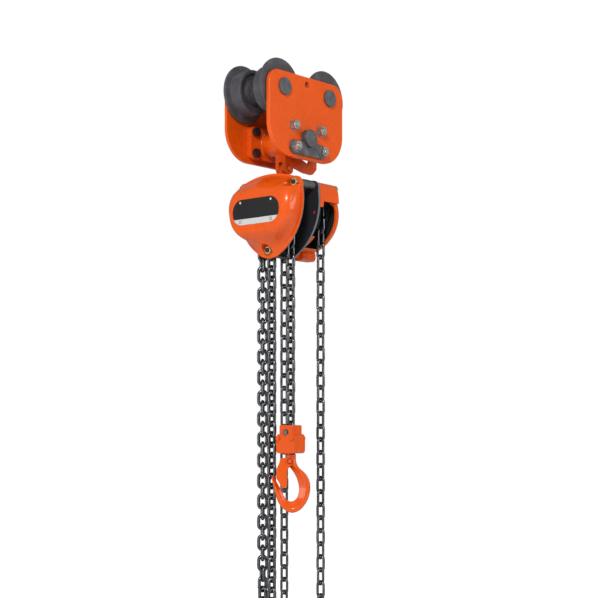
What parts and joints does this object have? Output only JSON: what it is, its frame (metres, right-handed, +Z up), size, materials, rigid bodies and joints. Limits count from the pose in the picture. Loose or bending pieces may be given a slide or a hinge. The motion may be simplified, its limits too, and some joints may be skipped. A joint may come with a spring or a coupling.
{
  "type": "trolley chain hoist",
  "caption": "Hand chain hoist hung from a push trolley that runs on a beam's lower flange, with load chain, hand chain, hook block and latched swivel hook.",
  "frame": {"origin": "midway between the trolley's side plates and between its axles, at the level where the wheel treads stand on the beam flange", "axes": "+X along the beam, +Y from the front side plate to the rear one, +Z up"},
  "size_m": [0.228, 0.1582, 1.0755],
  "materials": {
    "orange_paint": "gloss",
    "wheel_grey": "satin",
    "dark_steel": "satin",
    "black_plate": "satin",
    "chain_steel": "blackened",
    "bright_zinc": "zinc plated",
    "yellow_zinc": "yellow zinc plated",
    "bare_steel": "machined",
    "bronze": "machined",
    "lining": "matt",
    "label": "printed sheet"
  },
  "bodies": {
    "trolley": {"trolley_plate_front": "orange_paint", "trolley_plate_rear": "orange_paint", "wheel_axles": "dark_steel", "wheel_bearings": "bare_steel", "axle_washers": "bright_zinc", "axle_circlips": "bright_zinc", "shaft_bracket_front": "orange_paint", "shaft_bracket_rear": "orange_paint", "suspension_shaft": "dark_steel", "shaft_keepers": "dark_steel", "bracket_bolts": "dark_steel", "bracket_washers": "bright_zinc", "bracket_nuts": "bright_zinc", "hanger_spacers": "bright_zinc"},
    "wheel_fl": {"wheel_front_left": "wheel_grey"},
    "wheel_fr": {"wheel_front_right": "wheel_grey"},
    "wheel_rl": {"wheel_rear_left": "wheel_grey"},
    "wheel_rr": {"wheel_rear_right": "wheel_grey"},
    "hanger": {"top_hanger": "orange_paint", "hanger_pin": "orange_paint"},
    "hoist": {"top_yoke": "orange_paint", "yoke_pins": "black_plate", "side_plate_gear": "black_plate", "side_plate_wheel": "black_plate", "stay_studs": "black_plate", "stay_spacers": "black_plate", "stay_nuts": "yellow_zinc", "gear_cover": "orange_paint", "wheel_cover": "orange_paint", "label_plate": "label", "chain_guide": "black_plate", "chain_anchor_pin": "dark_steel", "sheave_bushes": "bronze", "ratchet_disc": "dark_steel", "pawl_pin": "dark_steel", "pawl_spring": "bare_steel", "hand_chain": "chain_steel", "load_chain_wrap": "chain_steel", "load_chain_slack": "chain_steel"},
    "slack_loop": {"load_chain_loop": "chain_steel"},
    "hand_wheel_body": {"hand_wheel": "black_plate", "drive_shaft": "dark_steel", "brake_hub": "dark_steel", "friction_discs": "lining", "wheel_nut": "yellow_zinc"},
    "sheave": {"load_sheave": "dark_steel", "load_gear": "bare_steel"},
    "gear_front": {"intermediate_gear_front": "bare_steel"},
    "gear_rear": {"intermediate_gear_rear": "bare_steel"},
    "pawl_body": {"pawl": "dark_steel"},
    "hook_block": {"hook_block_front": "orange_paint", "hook_block_rear": "orange_paint", "block_bolts": "orange_paint", "chain_pin": "dark_steel", "load_chain_fall": "chain_steel"},
    "hook": {"bottom_hook": "orange_paint", "hook_nut": "dark_steel", "latch_pin": "orange_paint", "latch_spring": "bare_steel"},
    "latch": {"hook_latch": "orange_paint"}
  },
  "joints": [
    {"name": "wheel_fl_spin", "type": "hinge", "parent": "trolley", "child": "wheel_fl", "pos_m": [-0.062, -0.03, 0.0405], "axis": [0, 1, 0], "continuous": true},
    {"name": "wheel_fr_spin", "type": "hinge", "parent": "trolley", "child": "wheel_fr", "pos_m": [0.062, -0.03, 0.0405], "axis": [0, 1, 0], "continuous": true},
    {"name": "wheel_rl_spin", "type": "hinge", "parent": "trolley", "child": "wheel_rl", "pos_m": [-0.062, 0.03, 0.0405], "axis": [0, 1, 0], "continuous": true},
    {"name": "wheel_rr_spin", "type": "hinge", "parent": "trolley", "child": "wheel_rr", "pos_m": [0.062, 0.03, 0.0405], "axis": [0, 1, 0], "continuous": true},
    {"name": "hanger_swing", "type": "hinge", "parent": "trolley", "child": "hanger", "pos_m": [0, 0, -0.0435], "axis": [0, 1, 0], "range_deg": [-6, 6]},
    {"name": "hoist_swing", "type": "hinge", "parent": "hanger", "child": "hoist", "pos_m": [0, 0, -0.091], "axis": [0, 1, 0], "range_deg": [-6, 6]},
    {"name": "hand_wheel_turn", "type": "hinge", "parent": "hoist", "child": "hand_wheel_body", "pos_m": [0.05, 0, -0.1675], "axis": [-1, 0, 0], "range_deg": [0, 12600], "deforming": ["hand_chain"]},
    {"name": "load_sheave_turn", "type": "hinge", "parent": "hoist", "child": "sheave", "pos_m": [-0.009, 0, -0.1675], "axis": [-1, 0, 0], "range_deg": [-0.5, 631], "deforming": ["load_chain_wrap"]},
    {"name": "gear_front_turn", "type": "hinge", "parent": "hoist", "child": "gear_front", "pos_m": [-0.05, -0.03477, -0.17682], "axis": [-1, 0, 0], "range_deg": [-3151, 1]},
    {"name": "gear_rear_turn", "type": "hinge", "parent": "hoist", "child": "gear_rear", "pos_m": [-0.05, 0.03477, -0.17682], "axis": [-1, 0, 0], "range_deg": [-3151, 1]},
    {"name": "pawl_turn", "type": "hinge", "parent": "hoist", "child": "pawl_body", "pos_m": [0.0215, 0.01242, -0.12114], "axis": [1, 0, 0], "range_deg": [0, 14], "stiffness_Nm_per_rad": 0.02, "deforming": ["pawl_spring"]},
    {"name": "hook_lift", "type": "slide", "parent": "hoist", "child": "hook_block", "axis": [0, 0, 1], "range_m": [-0.0005, 0.268], "deforming": ["load_chain_fall"]},
    {"name": "slack_drop", "type": "slide", "parent": "hoist", "child": "slack_loop", "axis": [0, 0, 1], "range_m": [-0.134, 0.0005], "deforming": ["load_chain_slack"]},
    {"name": "hook_swivel", "type": "hinge", "parent": "hook_block", "child": "hook", "pos_m": [-0.009, -0.02306, -0.6126], "axis": [0, 0, 1], "continuous": true},
    {"name": "hook_latch_turn", "type": "hinge", "parent": "hook", "child": "latch", "pos_m": [-0.00992, -0.022, -0.6266], "axis": [-0.7547, -0.6561, 0], "range_deg": [0, 24], "stiffness_Nm_per_rad": 0.05, "deforming": ["latch_spring"]}
  ],
  "couplings": [
    {"joint": "load_sheave_turn", "follows": "hand_wheel_turn", "ratio": 0.05},
    {"joint": "gear_front_turn", "follows": "hand_wheel_turn", "ratio": -0.25},
    {"joint": "gear_rear_turn", "follows": "hand_wheel_turn", "ratio": -0.25},
    {"joint": "hook_lift", "follows": "hand_wheel_turn", "m_per_rad": 0.0012159},
    {"joint": "slack_drop", "follows": "hand_wheel_turn", "m_per_rad": -0.00060797}
  ]
}
